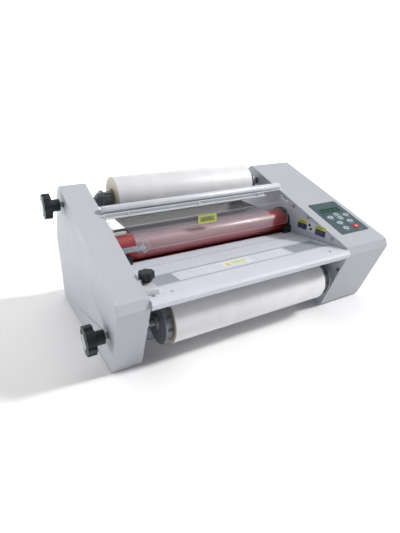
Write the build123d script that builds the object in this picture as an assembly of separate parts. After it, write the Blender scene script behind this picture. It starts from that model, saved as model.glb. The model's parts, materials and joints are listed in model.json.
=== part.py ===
"""Desktop roll laminator: two covered side housings carry the rollers, film rolls, feed table and shield.

Machine coordinates, in mm: x runs from the left housing's outer face to the right, y runs from the
front toe of the housings to the back, z runs up from the lower edge of the covers.
"""

import os
from math import asin, atan2, cos, degrees, hypot, pi, sin

from build123d import *

# Overall layout
MACHINE_W = 700.0
LEFT_IN = 63.2
RIGHT_IN = 561.6
SKIN = 1.6
PLATE = 4.0
FOOT_H = 4.0
KNOB_CAP_X = -47.0
TABLE_FRONT = -71.0
INLET_BACK = 417.6

# Side profile of both housings, (y, z)
TOE = (0.0, 0.0)
NOSE_LOW = (-65.0, 151.0)
NOSE_TOP = (-59.3, 169.4)
CREST = (295.8, 326.7)
CHAMFER = (333.0, 309.2)
BACK_TOP = (415.1, 174.6)
BACK_LOW = (415.1, 0.0)
PROFILE = [TOE, NOSE_LOW, NOSE_TOP, CREST, CHAMFER, BACK_TOP, BACK_LOW]
SLOPE = atan2(CREST[1] - NOSE_TOP[1], CREST[0] - NOSE_TOP[0])

# Rollers
NIP_Z = 160.5
NIP_GAP = 2.0
HEAT_Y = 161.0
HEAT_R = 31.0
HEAT_SHAFT_R = 10.0
PULL_Y = 283.0
PULL_R = 21.0
PULL_SHAFT_R = 8.0
UPPER_HEAT = (HEAT_Y, NIP_Z + NIP_GAP / 2 + HEAT_R)
LOWER_HEAT = (HEAT_Y, NIP_Z - NIP_GAP / 2 - HEAT_R)
UPPER_PULL = (PULL_Y, NIP_Z + NIP_GAP / 2 + PULL_R)
LOWER_PULL = (PULL_Y, NIP_Z - NIP_GAP / 2 - PULL_R)
RUNNING = 0.05

# Film supplies
TOP_AXIS = (272.0, 287.0)
BOTTOM_AXIS = (2.0, 83.0)
TOP_FILM_R = 52.0
BOTTOM_FILM_R = 50.0
SUPPLY_SHAFT_R = 8.0
CORE_R = 24.0
CORE_BORE_R = 19.5
TOP_FILM_X = (120.0, 507.0)
BOTTOM_FILM_X = (120.0, 515.0)
CORE_OVER = 2.0
WEB_T = 0.4
WEB_CLEAR = 0.35
WEB_END = 352.0
UPPER_IDLER = (180.0, 280.0)
UPPER_IDLER_R = 10.0
LOWER_IDLER = (226.0, 92.0)
IDLER_R = 10.0

# Feed table
TABLE_Z = 165.0
TABLE_BACK = 131.0
TABLE_X = (64.0, 560.8)
TABLE_UNDER = 145.0
GROOVES = (91.0, 36.5, -14.0)
GUIDE_SCREW = (80.6, -10.0)

# Shield
HINGE = (155.0, 254.5)
SHIELD_TOP = (129.5, 250.0)
SHIELD_FOOT = (126.0, 191.0)
SHIELD_T = 3.0
SHIELD_X = (70.0, 552.0)

# Gears, module 2; the tip circles stop just short of each other
MODULE = 2.0
HEAT_TEETH = 32
PAIR_TEETH = 22
PULL_TEETH = 21
IDLER_TEETH = 36
PINION_TEETH = 16
GEAR_X = (582.0, 594.0)
PAIR_X = (597.0, 607.0)
PINION = (HEAT_Y, LOWER_HEAT[1] - MODULE * (HEAT_TEETH + PINION_TEETH) / 2)

# Keypad, in (x, s): s is the distance up the sloping face from the nose
OVAL_KEYS = {
    "key_menu": (612.0, 107.0),
    "key_run": (667.0, 107.0),
    "key_heat": (621.0, 82.5),
    "key_cold": (657.0, 82.5),
    "key_reverse": (621.0, 60.5),
}
ROUND_KEYS = {"key_up": (639.5, 114.0), "key_down": (639.5, 100.0)}
STOP_KEY = (657.0, 60.5)
OVAL = (18.2, 11.4)
ARROW_R = 6.1
STOP_R = 9.0
KEY_GAP = 0.3
SLOPE_PLANE = Plane(
    origin=(0, NOSE_TOP[0], NOSE_TOP[1]), x_dir=(1, 0, 0), z_dir=(0, -sin(SLOPE), cos(SLOPE))
)

# Rear panel
FAN = (630.0, 118.0)
FAN_SIZE = 80.0
INLET = (607.0, 34.0)
SWITCH = (662.0, 34.0)

SHIFT = Vector(
    -(KNOB_CAP_X + MACHINE_W) / 2, -(TABLE_FRONT + INLET_BACK) / 2, FOOT_H
)


def save(name, shape):
    """Moves a shape from machine coordinates to the part's frame and writes it."""
    export_step(Pos(SHIFT.X, SHIFT.Y, SHIFT.Z) * shape, f"parts/{name}.step")


def box(x, y, z):
    """Block between two x, two y and two z values."""
    size = (x[1] - x[0], y[1] - y[0], z[1] - z[0])
    centre = ((x[0] + x[1]) / 2, (y[0] + y[1]) / 2, (z[0] + z[1]) / 2)
    return Pos(*centre) * Box(*size)


def along_x(sketch, x):
    """Draws a sketch in (y, z) out between two x values."""
    return extrude(Plane.YZ.offset(x[0]) * sketch, amount=x[1] - x[0], dir=(1, 0, 0))


def rod(x, at, radius):
    """Round bar along x, centred at (y, z)."""
    return along_x(Pos(at[0], at[1]) * Circle(radius), x)


def tube(x, at, outer, inner):
    """Round tube along x."""
    return rod(x, at, outer) - rod(x, at, inner)


def prism(points, x):
    """Polygon in (y, z) drawn out along x."""
    return along_x(Polygon(*points, align=None), x)


def rounded_prism(points, x, radius):
    """Polygon with rounded corners in (y, z) drawn out along x."""
    face = Polygon(*points, align=None)
    return along_x(fillet(face.vertices(), radius), x)


def pin_y(at, y, radius):
    """Round bar along y, centred at (x, z)."""
    plane = Plane(origin=(at[0], y[0], at[1]), x_dir=(1, 0, 0), z_dir=(0, 1, 0))
    return extrude(plane * Circle(radius), amount=y[1] - y[0])


def pin_z(at, z, radius):
    """Round bar along z, centred at (x, y)."""
    return Pos(at[0], at[1], (z[0] + z[1]) / 2) * Cylinder(radius, z[1] - z[0])


def on_slope(sketch, n):
    """Draws a sketch in (x, s) out between two heights over the sloping face."""
    return extrude(SLOPE_PLANE.offset(n[0]) * sketch, amount=n[1] - n[0], dir=SLOPE_PLANE.z_dir)


def inset_profile(distance):
    """The housing profile moved inwards."""
    return offset(Polygon(*PROFILE, align=None), amount=-distance, kind=Kind.INTERSECTION)


def circle_meet(a, ra, b, rb):
    """Lower meeting point of two circles in (y, z)."""
    gap = hypot(b[0] - a[0], b[1] - a[1])
    along = (ra**2 - rb**2 + gap**2) / (2 * gap)
    side = (ra**2 - along**2) ** 0.5
    u = ((b[0] - a[0]) / gap, (b[1] - a[1]) / gap)
    return (a[0] + along * u[0] + side * u[1], a[1] + along * u[1] - side * u[0])


IDLER = circle_meet(
    LOWER_HEAT,
    MODULE * (HEAT_TEETH + IDLER_TEETH) / 2,
    LOWER_PULL,
    MODULE * (PULL_TEETH + IDLER_TEETH) / 2,
)


# Housings


def cover(panel_x, open_x):
    """Folded sheet cover: an outer panel with a rim around it, open below and on the inner side."""
    panel = prism(PROFILE, panel_x)
    rim = along_x(Polygon(*PROFILE, align=None) - inset_profile(SKIN), open_x)
    below = box(open_x, (TOE[0] + 3.6, BACK_LOW[0] - SKIN), (-1, SKIN + 1))
    return panel + (rim - below)


def left_cover():
    """Left cover with holes for the two brake screws and its vent slots."""
    shape = cover((0, SKIN), (SKIN, LEFT_IN))
    for axis in (TOP_AXIS, BOTTOM_AXIS):
        shape -= rod((-1, SKIN + 1), axis, 8.0)
    return shape


def rear_slots():
    """Ventilation slots in front of the fan."""
    shape = None
    for step in range(-4, 5):
        half = (34.0**2 - (step * 7.5) ** 2) ** 0.5
        z = FAN[1] + step * 7.5
        slot = box((FAN[0] - half, FAN[0] + half), (BACK_LOW[0] - 3, BACK_LOW[0] + 1), (z - 1.8, z + 1.8))
        shape = slot if shape is None else shape + slot
    return shape


def right_cover():
    """Right cover with the keypad window, the fan slots and the cut-outs for inlet and switch."""
    shape = cover((MACHINE_W - SKIN, MACHINE_W), (RIGHT_IN, MACHINE_W - SKIN))
    window = Pos(638.5, 103.5) * Rectangle(82, 112)
    shape -= on_slope(window, (-3, 3))
    shape -= rear_slots()
    back = (BACK_LOW[0] - 3, BACK_LOW[0] + 1)
    shape -= box((INLET[0] - 14.5, INLET[0] + 14.5), back, (INLET[1] - 11, INLET[1] + 11))
    shape -= box((SWITCH[0] - 10, SWITCH[0] + 10), back, (SWITCH[1] - 13, SWITCH[1] + 13))
    return shape


def side_plate(x, flange_x):
    """Load-carrying plate closing a cover, with a floor that takes the feet."""
    plate = along_x(inset_profile(SKIN + 0.2), x)
    skirt = box(x, (TOE[0] + 4.2, BACK_LOW[0] - SKIN - 0.2), (0, SKIN + 0.2))
    floor = box(flange_x, (TOE[0] + 4.2, BACK_LOW[0] - SKIN - 0.2), (0, 3))
    return plate + skirt + floor


def plate_bores(x):
    """Clearance holes for the shafts and the shield pins."""
    cut = rod(x, TOP_AXIS, SUPPLY_SHAFT_R + 1) + rod(x, BOTTOM_AXIS, SUPPLY_SHAFT_R + 1)
    for axis in (UPPER_HEAT, LOWER_HEAT):
        cut += rod(x, axis, HEAT_SHAFT_R + 1)
    for axis in (UPPER_PULL, LOWER_PULL):
        cut += rod(x, axis, PULL_SHAFT_R + 1)
    return cut + rod(x, HINGE, 2.5 + RUNNING)


def left_side_plate():
    """Left plate with the table ledge and the rest for the shield catch."""
    shape = side_plate((LEFT_IN - PLATE, LEFT_IN), (SKIN + 0.2, LEFT_IN))
    ledge = box((LEFT_IN, LEFT_IN + 6), (-30, 100), (TABLE_UNDER - 6, TABLE_UNDER))
    rest = box((LEFT_IN, 68.0), (117.5, 121.5), (190.5, 194.5))
    return shape + ledge + rest - plate_bores((LEFT_IN - PLATE - 1, LEFT_IN + 1))


def right_side_plate():
    """Right plate with the table ledge and the stub for the intermediate gear."""
    shape = side_plate((RIGHT_IN, RIGHT_IN + PLATE), (RIGHT_IN, MACHINE_W - SKIN - 0.2))
    ledge = box((RIGHT_IN - 6, RIGHT_IN), (-30, 100), (TABLE_UNDER - 6, TABLE_UNDER))
    stub = rod((RIGHT_IN + PLATE, GEAR_X[1] + 3), IDLER, 6.0) + rod((RIGHT_IN + PLATE, GEAR_X[0] - 1), IDLER, 9.0)
    return shape + ledge + stub - plate_bores((RIGHT_IN - 1, RIGHT_IN + PLATE + 1))


def feet():
    """Four rubber feet under the two floors."""
    shape = None
    for x in (32.0, 632.0):
        for y in (30.0, 380.0):
            foot = pin_z((x, y), (-FOOT_H, 0), 12.0)
            shape = foot if shape is None else shape + foot
    return shape


def tie_bars():
    """Square bars that hold the two side plates apart."""
    x = (LEFT_IN, RIGHT_IN)
    low_front = box(x, (62, 87), (6, 31)) - box(x, (64, 85), (8, 29))
    low_back = box(x, (372, 402), (10, 40)) - box(x, (374, 400), (12, 38))
    middle = box(x, (208, 226), (184, 202)) - box(x, (210, 224), (186, 200))
    return low_front + low_back + middle


def bearing_blocks():
    """Bearing blocks of the rollers and supply shafts, bolted behind both side plates."""
    shape = None
    sides = ((LEFT_IN - PLATE - 14, LEFT_IN - PLATE), (RIGHT_IN + PLATE, RIGHT_IN + PLATE + 14))
    for x in sides:
        for axis in (UPPER_HEAT, LOWER_HEAT):
            block = box(x, (axis[0] - 24, axis[0] + 24), (axis[1] - 25, axis[1] + 25))
            block -= rod(x, axis, HEAT_SHAFT_R + RUNNING)
            shape = block if shape is None else shape + block
        for axis in (UPPER_PULL, LOWER_PULL):
            block = box(x, (axis[0] - 18, axis[0] + 18), (axis[1] - 17, axis[1] + 17))
            shape += block - rod(x, axis, PULL_SHAFT_R + RUNNING)
    for axis in (TOP_AXIS, BOTTOM_AXIS):
        brake = rod((26, LEFT_IN - PLATE), axis, 22.0)
        brake -= rod((26, 42), axis, 6.0 + RUNNING)
        brake -= rod((42, LEFT_IN - PLATE), axis, SUPPLY_SHAFT_R + RUNNING)
        socket = tube((RIGHT_IN + PLATE, RIGHT_IN + PLATE + 16), axis, 18.0, SUPPLY_SHAFT_R + RUNNING)
        shape += brake + socket
    return shape


# Feed table


def feed_table():
    """Flat table with a rounded front lip, long grooves, a shallow recess and ribs below."""
    lip = [
        (TABLE_FRONT + 10, TABLE_Z), (TABLE_FRONT + 3.5, TABLE_Z - 2), (TABLE_FRONT, TABLE_Z - 7),
        (TABLE_FRONT + 1.5, TABLE_Z - 14), (TABLE_FRONT + 7, TABLE_UNDER + 0.5),
        (TABLE_FRONT + 14, TABLE_UNDER), (TABLE_FRONT + 16, TABLE_UNDER + 3),
        (TABLE_FRONT + 16, TABLE_Z - 6), (TABLE_BACK, TABLE_Z - 6), (TABLE_BACK, TABLE_Z),
    ]
    shape = prism(lip, TABLE_X)
    for y in (22.0, 88.0):
        shape += box(TABLE_X, (y, y + 6), (TABLE_UNDER, TABLE_Z - 5))
    for y in GROOVES:
        shape -= box(TABLE_X, (y - 1.5, y + 1.5), (TABLE_Z - 1.6, TABLE_Z + 1))
    shape -= box((100, 546), (-12, 34.5), (TABLE_Z - 1.0, TABLE_Z + 1))
    for x in (76.7, 114.0, 520.0):
        shape -= pin_z((x, -47.0), (TABLE_Z - 3, TABLE_Z + 1), 3.6)
    return shape


def table_scale_plate():
    """Thin inlay in the table's recess."""
    return box((100.4, 545.6), (-11.6, 34.1), (TABLE_Z - 1.0, TABLE_Z - 0.5))


def table_label():
    """Printed sheet on the inlay."""
    return box((152.0, 448.0), (-9.5, 32.0), (TABLE_Z - 0.5, TABLE_Z - 0.25))


def paper_guide():
    """Side guide that slides along the table, with its clamp screw."""
    block = rounded_prism([(-44, 165.4), (16, 165.4), (16, 176), (-44, 176)], (64.6, 90), 1.5)
    tongue = box((64.6, 90), (-15.2, -12.8), (163.8, 166.5))
    clamp = pin_z(GUIDE_SCREW, (176, 194), 4.0)
    collar = pin_z(GUIDE_SCREW, (176, 178), 8.0)
    return block + tongue + clamp + collar


def lobed(radius, lobes, depth):
    """Round outline with scalloped finger grips."""
    shape = Circle(radius)
    for step in range(lobes):
        turn = 2 * pi * step / lobes
        shape -= Pos((radius + 2.0) * cos(turn), (radius + 2.0) * sin(turn)) * Circle(depth)
    return shape


def guide_knob():
    """Lobed clamp knob of the side guide."""
    cap = extrude(Pos(*GUIDE_SCREW, 186.0) * lobed(15.5, 7, 4.4), amount=12.5)
    boss = pin_z(GUIDE_SCREW, (179, 186), 9.6)
    return cap + boss - pin_z(GUIDE_SCREW, (178.5, 194.3), 4.0 + RUNNING)


# Idler bar, rail, shield


def idler_bars():
    """Smooth round bars across the machine, one above and one below the heated rollers."""
    x = (LEFT_IN, RIGHT_IN)
    return rod(x, UPPER_IDLER, UPPER_IDLER_R) + rod(x, LOWER_IDLER, IDLER_R)


def shield_rail():
    """Channel rail under the idler bar, with a narrow strip that runs on to the right plate."""
    x = (LEFT_IN, 501.0)
    shape = box(x, (163.0, 165.5), (264.6, 275.5)) + box(x, (155.0, 163.0), (264.6, 267.1))
    return shape + box((LEFT_IN, RIGHT_IN), (160.0, 165.5), (274.0, 275.5))


def shield_panel():
    """Flat clear panel in front of the upper roller."""
    edge = SHIELD_T / 2
    outline = [
        (SHIELD_TOP[0] - edge, SHIELD_TOP[1]), (SHIELD_TOP[0] + edge, SHIELD_TOP[1]),
        (SHIELD_FOOT[0] + edge, SHIELD_FOOT[1]), (SHIELD_FOOT[0] - edge, SHIELD_FOOT[1]),
    ]
    return prism(outline, SHIELD_X)


def shield_arms():
    """End arms of the shield with their pivot pins."""
    shape = None
    for inner, outer, pin in ((70.0, 67.0, 60.0), (552.0, 555.0, 565.0)):
        x = (min(inner, outer), max(inner, outer))
        outline = [(156, 258.5), (148, 255.0), (143, 252.0), (127.7, 249.5), (127.2, 240.0), (131, 241.0)]
        arm = rod(x, HINGE, 6.0) + prism(outline + [(156, 250.5)], x)
        arm += rod((min(outer, pin), max(outer, pin)), HINGE, 2.5)
        shape = arm if shape is None else shape + arm
    return shape


def shield_label():
    """Warning sticker on the front face of the shield."""
    lean = (SHIELD_TOP[0] - SHIELD_FOOT[0]) / (SHIELD_TOP[1] - SHIELD_FOOT[1])
    low, high = 229.0, 248.5
    face = SHIELD_FOOT[0] - SHIELD_T / 2 - SHIELD_FOOT[1] * lean
    front = [(face + low * lean, low), (face + high * lean, high)]
    return prism(front + [(y - 0.3, z) for y, z in reversed(front)], (276, 327))


def shield_catch():
    """Flat lever on the shield with a domed pivot screw, a thumb tab and a finger ring."""
    pivot = (123.0, 201.0)
    lever = box((65, 131), (118.8, 121.4), (195.2, 206.8))
    tab = box((129, 136), (117.0, 119.4), (196.5, 203.5))
    ring = pin_y((132.0, 202.0), (119.2, 120.8), 14.0) - pin_y((132.0, 202.0), (118, 122), 12.5)
    ring -= box((110, 132), (118, 122), (180, 220))
    ring += box((130.5, 132.5), (119.2, 120.8), (188.2, 215.8))
    boss = pin_y(pivot, (121.4, 124.7), 4.5)
    head = pin_y(pivot, (115.8, 118.8), 5.4)
    head = fillet(head.edges().group_by(Axis.Y)[0], 2.4)
    return lever + tab + ring + boss + head


def nip_guards():
    """Blocks at both ends of the feed slot that keep fingers out of the nip."""
    left = box((LEFT_IN, 104.0), (120.0, 126.0), (165.3, 184.0))
    return left + box((537.0, RIGHT_IN - 1.0), (120.0, 126.0), (165.3, 184.0))


def temp_sensor_block():
    """Block over the end of the upper roller that holds its thermostat."""
    body = box((76, 107), (153, 160), (227.5, 232.5)) + box((80, 103), (154, 159), (225.5, 227.5))
    arm = box((LEFT_IN, 76), (154, 159), (229.0, 232.0))
    return body + arm


# Side panel details


def trim_plate():
    """Thin plate over the front of the right side plate, held by three screws."""
    outline = [(-52.0, 168.5), (134.0, 250.0), (119.5, 219.7), (107.5, 198.0), (104.0, 168.5)]
    return prism(outline, (RIGHT_IN - 1.0, RIGHT_IN))


def tilted_label(y, z, width, height):
    """One sticker on the trim plate, turned to follow the label row."""
    face = Pos(y, z) * Rot(0, 0, 4.8) * Rectangle(width, height)
    return along_x(face, (RIGHT_IN - 1.25, RIGHT_IN - 1.0))


def hazard_labels():
    """Row of three stickers on the trim plate."""
    return tilted_label(80.0, 196.0, 32, 24) + tilted_label(50.0, 193.0, 24, 25) + tilted_label(20.0, 190.5, 32, 25)


def panel_screw(y, z, x_face, side):
    """Domed screw head on an inner panel face."""
    x = (x_face - 2.2, x_face) if side < 0 else (x_face, x_face + 2.2)
    head = rod(x, (y, z), 4.2)
    socket = (x[0] - 0.1, x[0] + 1.1) if side < 0 else (x[1] - 1.1, x[1] + 0.1)
    return head - rod(socket, (y, z), 1.6)


def panel_screws():
    """All the visible machine screws."""
    shape = None
    right_trim = ((113.0, 237.0), (61.0, 218.0), (-17.0, 180.0))
    low = ((-11.0, 93.5), (-42.0, 110.5))
    for at in right_trim:
        screw = panel_screw(at[0], at[1], RIGHT_IN - 1.0, -1)
        shape = screw if shape is None else shape + screw
    for at in low:
        shape += panel_screw(at[0], at[1], RIGHT_IN, -1)
        shape += panel_screw(at[0], at[1], LEFT_IN, 1)
    for x in (117.0, 300.0, 480.0):
        head = pin_y((x, 270.5), (160.8, 163.0), 3.0)
        shape += head - pin_y((x, 270.5), (160, 161.8), 1.3)
    for x in (76.7, 114.0, 520.0):
        shape += pin_z((x, -47.0), (TABLE_Z - 3, TABLE_Z - 0.6), 3.5)
    for x in (12.0, 52.0, 574.0, 688.0):
        head = pin_y((x, 152.0), (BACK_LOW[0], BACK_LOW[0] + 1.8), 3.6)
        shape += head - pin_y((x, 152.0), (BACK_LOW[0] + 0.8, BACK_LOW[0] + 2), 1.4)
    return shape


# Film path


def touch(circle, heading):
    """Point where a run with this heading touches a circle given as (centre, radius, turn)."""
    centre, radius, turn = circle
    return (centre[0] + turn * radius * sin(heading), centre[1] - turn * radius * cos(heading))


def heading_between(first, second):
    """Heading of the straight run from one circle to the next.

    A circle's turn is +1 where the film goes round it counter-clockwise, -1 where clockwise.
    """
    dy = second[0][0] - first[0][0]
    dz = second[0][1] - first[0][1]
    lean = (second[2] * second[1] - first[2] * first[1]) / hypot(dy, dz)
    return (atan2(dz, dy) - asin(lean)) % (2 * pi)


def wrap(circle, heading_in, heading_out):
    """Arc of film round a circle between two headings."""
    middle = (heading_in + heading_out) / 2
    return ThreePointArc(touch(circle, heading_in), touch(circle, middle), touch(circle, heading_out))


def film_run(circles, last_heading, tail_y, x):
    """Film from the first circle round the others, then straight back to tail_y."""
    pen = None
    heading_in = None
    for first, second in zip(circles, circles[1:]):
        heading = heading_between(first, second)
        line = trace(Line(touch(first, heading), touch(second, heading)), WEB_T)
        pen = line if pen is None else pen + line
        if heading_in is not None:
            pen += trace(wrap(first, heading_in, heading), WEB_T)
        heading_in = heading
    pen += trace(wrap(circles[-1], heading_in, last_heading), WEB_T)
    leave = touch(circles[-1], last_heading)
    pen += trace(Line(leave, (tail_y, leave[1])), WEB_T)
    return along_x(pen, x)


def film_webs():
    """Upper and lower film, each from its roll round the heated roller and out at the back."""
    grow = WEB_CLEAR + WEB_T / 2
    upper = [(TOP_AXIS, TOP_FILM_R + grow, -1), (UPPER_HEAT, HEAT_R + grow, 1)]
    lower = [
        (BOTTOM_AXIS, BOTTOM_FILM_R + grow, 1),
        (LOWER_IDLER, IDLER_R + grow, 1),
        (LOWER_HEAT, HEAT_R + grow, -1),
    ]
    return film_run(upper, 2 * pi, WEB_END, TOP_FILM_X) + film_run(lower, 0.0, WEB_END, BOTTOM_FILM_X)


def film_core(axis, film_x):
    """Cardboard tube of a film roll."""
    return tube((film_x[0] - CORE_OVER, film_x[1] + CORE_OVER), axis, CORE_R, CORE_BORE_R)


def film_roll(axis, film_x, radius):
    """Wound film on its core."""
    return tube(film_x, axis, radius, CORE_R)


def supply_shaft(axis, core_x):
    """Supply shaft with a plug in each end of the core."""
    shape = rod((44, RIGHT_IN + PLATE + 15), axis, SUPPLY_SHAFT_R)
    for x in ((core_x[0], core_x[0] + 24), (core_x[1] - 24, core_x[1])):
        shape += rod(x, axis, CORE_BORE_R - 0.2)
    return shape


def top_spindle():
    """Upper supply shaft with a flanged, ribbed chuck at each end of the core."""
    core_x = (TOP_FILM_X[0] - CORE_OVER, TOP_FILM_X[1] + CORE_OVER)
    shape = supply_shaft(TOP_AXIS, core_x)
    for face, out in ((core_x[0], -1), (core_x[1], 1)):
        steps = ((0, 4, 19.4), (4, 24, 15.5), (24, 29, 23.0), (29, 35, 17.0), (35, 40, 13.0))
        for near, far, radius in steps:
            ends = sorted((face + out * near, face + out * far))
            shape += rod(ends, TOP_AXIS, radius)
        for step in range(6):
            turn = pi * step / 3
            place = Pos(face + out * 14, TOP_AXIS[0] + 16 * cos(turn), TOP_AXIS[1] + 16 * sin(turn))
            shape += place * Rot(degrees(turn), 0, 0) * Box(20, 4, 2.6)
    return shape


def bottom_spindle():
    """Lower supply shaft with a wide scalloped chuck and flange at each end of the core."""
    core_x = (BOTTOM_FILM_X[0] - CORE_OVER, BOTTOM_FILM_X[1] + CORE_OVER)
    shape = supply_shaft(BOTTOM_AXIS, core_x)
    for face, out in ((core_x[0], -1), (core_x[1], 1)):
        ends = sorted((face + out * 1, face + out * 14))
        shape += along_x(Pos(*BOTTOM_AXIS) * lobed(43.0, 10, 4.6), ends)
        shape += rod(sorted((face, face + out * 1)), BOTTOM_AXIS, 22.0)
        shape += rod(sorted((face + out * 14, face + out * 18)), BOTTOM_AXIS, 46.5)
        shape += rod(sorted((face + out * 18, face + out * 24)), BOTTOM_AXIS, 15.0)
    return shape


# Rollers and drive


def gear_outline(teeth):
    """Toothed outline whose tips stop just inside the pitch circle."""
    tip = MODULE * teeth / 2 - 0.1
    root = tip - 2.4
    points = []
    for step in range(teeth):
        base = 2 * pi * step / teeth
        pitch = 2 * pi / teeth
        for radius, part in ((root, -0.30), (tip, -0.16), (tip, 0.16), (root, 0.30)):
            points.append((radius * cos(base + part * pitch), radius * sin(base + part * pitch)))
    return Polygon(*points, align=None)


def gear(x, at, teeth):
    """Spur gear along x."""
    return along_x(Pos(at[0], at[1]) * gear_outline(teeth), x)


def heat_core(axis, flanges):
    """Steel shaft, inner drum and drive gear of a heated roller."""
    shape = rod((44, 598), axis, HEAT_SHAFT_R) + rod((69, 554), axis, HEAT_R - 6)
    if flanges:
        shape += rod((64.4, 67.4), axis, 35.0) + rod((555.4, 560.2), axis, 35.0)
    return shape + gear(GEAR_X, axis, HEAT_TEETH)


def heat_sleeve(axis):
    """Silicone covering of a heated roller."""
    return tube((68.4, 554.6), axis, HEAT_R, HEAT_R - 6) - rod((69, 554), axis, HEAT_R - 6)


def pull_core(axis, lower):
    """Shaft and gears of a rear pull roller."""
    shape = rod((44, 611), axis, PULL_SHAFT_R) + gear(PAIR_X, axis, PAIR_TEETH)
    if lower:
        shape += gear(GEAR_X, axis, PULL_TEETH)
    return shape


def pull_sleeve(axis):
    """Rubber covering of a pull roller."""
    return tube((72, 551), axis, PULL_R, PULL_SHAFT_R)


def idler_gear():
    """Intermediate gear between the heated and the pull rollers."""
    return gear(GEAR_X, IDLER, IDLER_TEETH) - rod((570, 610), IDLER, 6.0 + RUNNING)


def motor_pinion():
    """Motor output gear and shaft."""
    return gear(GEAR_X, PINION, PINION_TEETH) + rod((580, 612), PINION, 4.0)


def drive_motor():
    """Gearmotor on its mounting plate with four standoffs."""
    y, z = PINION
    plate = box((597, 600), (y - 46, y + 42), (z - 42, z + 20))
    body = rod((600, 628), PINION, 26.0) + rod((628, 688), PINION, 21.0)
    shape = plate + body
    for at in ((y - 40, z - 34), (y + 35, z - 34), (y - 40, z + 11), (y + 35, z + 11)):
        shape += rod((RIGHT_IN + PLATE, 597), at, 4.0)
    return shape - rod((590, 613), PINION, 4.0 + RUNNING)


# Brake knobs


def brake_knob(axis):
    """Scalloped hand knob with a narrower hub."""
    disc = along_x(Pos(axis[0], axis[1]) * lobed(29.0, 10, 5.0), (-45, -28))
    hub = rod((-28, -8), axis, 14.0)
    return disc + hub - rod((-46, -7), axis, 6.0 + RUNNING)


def brake_screw(axis):
    """Brake screw with the pale cap on the knob's face."""
    return rod((KNOB_CAP_X, -45.0), axis, 15.0) + rod((-45.0, 38.0), axis, 6.0)


# Controls


def oval(at, grow=0.0):
    """Outline of an oval key."""
    width, height = OVAL[0] + 2 * grow, OVAL[1] + 2 * grow
    return Pos(*at) * RectangleRounded(width, height, height / 2 - 0.05)


def disc(at, radius):
    """Outline of a round key or spacer."""
    return Pos(*at) * Circle(radius)


def key(face, flange, at):
    """Key top through the overlay, a stop flange below it and a stem to its switch."""
    return on_slope(face, (-0.9, 2.2)) + on_slope(flange, (-2.2, -0.9)) + on_slope(disc(at, 2.0), (-9.0, -2.2))


def keypad_overlay():
    """Control panel face with a raised window frame and openings for the keys."""
    shape = on_slope(Pos(637.5, 105.0) * RectangleRounded(95, 126, 3), (0, 1.0))
    shape += on_slope(Pos(638.5, 134.0) * RectangleRounded(72, 26, 4), (0.9, 2.0))
    shape += on_slope(Pos(639.5, 107.0) * RectangleRounded(21, 35, 10.4), (0.9, 1.5))
    shape -= on_slope(Pos(636.5, 133.5) * Rectangle(62, 16), (-1, 3))
    for at in OVAL_KEYS.values():
        shape -= on_slope(oval(at, KEY_GAP), (-1, 4))
    for at in ROUND_KEYS.values():
        shape -= on_slope(disc(at, ARROW_R + KEY_GAP), (-1, 4))
    return shape - on_slope(disc(STOP_KEY, STOP_R + KEY_GAP), (-1, 4))


def lcd_window():
    """Display module behind the overlay's window."""
    glass = on_slope(Pos(636.5, 133.5) * Rectangle(61.6, 15.6), (-1.0, 1.3))
    return glass + on_slope(Pos(636.5, 133.5) * Rectangle(70, 24), (-6.0, -1.0))


def control_board():
    """Circuit board under the keypad with its larger parts and four spacers."""
    shape = on_slope(Pos(637.5, 103.5) * Rectangle(96, 122), (-12.0, -10.4))
    for at in ((592.5, 45.5), (682.5, 45.5), (592.5, 161.5), (682.5, 161.5)):
        shape += on_slope(disc(at, 3.0), (-10.4, -SKIN))
    for at, size, depth in (((615, 70), (22, 30), 14), ((655, 78), (14, 14), 9), ((640, 130), (40, 12), 11)):
        shape += on_slope(Pos(*at) * Rectangle(*size), (-12.0 - depth, -12.0))
    return shape


# Rear panel


def power_inlet():
    """Mains inlet with a shrouded recess, moulded together with the switch frame."""
    x, z = INLET
    wall = BACK_LOW[0]
    shape = box((x - 19, x + 19), (wall, INLET_BACK), (z - 14, z + 14))
    shape += box((x - 14, x + 14), (wall - 22, wall), (z - 10.5, z + 10.5))
    shape -= box((x - 12, x + 12), (wall - 14, INLET_BACK + 1), (z - 8, z + 8))
    for dx in (-7.0, 0.0, 7.0):
        shape += pin_y((x + dx, z + (3 if dx == 0 else -1)), (wall - 15, wall - 3), 1.3)
    return shape + switch_frame()


def switch_frame():
    """Frame of the power switch."""
    x, z = SWITCH
    wall = BACK_LOW[0]
    shape = box((x - 13, x + 13), (wall, wall + 1.6), (z - 16, z + 16))
    shape += box((x - 9.5, x + 9.5), (wall - 18, wall), (z - 12.5, z + 12.5))
    return shape - box((x - 8, x + 8), (wall - 10, wall + 3), (z - 11, z + 11))


def power_switch():
    """Rocker of the power switch, upper half standing out."""
    x, z = SWITCH
    wall = BACK_LOW[0]
    outline = [(wall - 5, z - 9.5), (wall + 0.5, z - 9.5), (wall + 1.0, z), (wall + 2.4, z + 9.5), (wall - 5, z + 9.5)]
    return prism(outline, (x - 7.6, x + 7.6))


def fan_housing():
    """Square fan frame with a centre hub on three struts."""
    x, z = FAN
    back = BACK_LOW[0] - SKIN - 0.2
    half = FAN_SIZE / 2
    shape = box((x - half, x + half), (back - 25, back), (z - half, z + half))
    shape -= pin_y((x, z), (back - 26, back + 1), 37.0)
    shape += pin_y((x, z), (back - 25, back - 21), 14.0)
    for step in range(3):
        turn = 2 * pi * step / 3 + 0.3
        strut = Box(28, 3.0, 3.0)
        place = Pos(x + 25 * cos(turn), back - 23.3, z + 25 * sin(turn))
        shape += place * Rot(0, -degrees(turn), 0) * strut
    return shape


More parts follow.
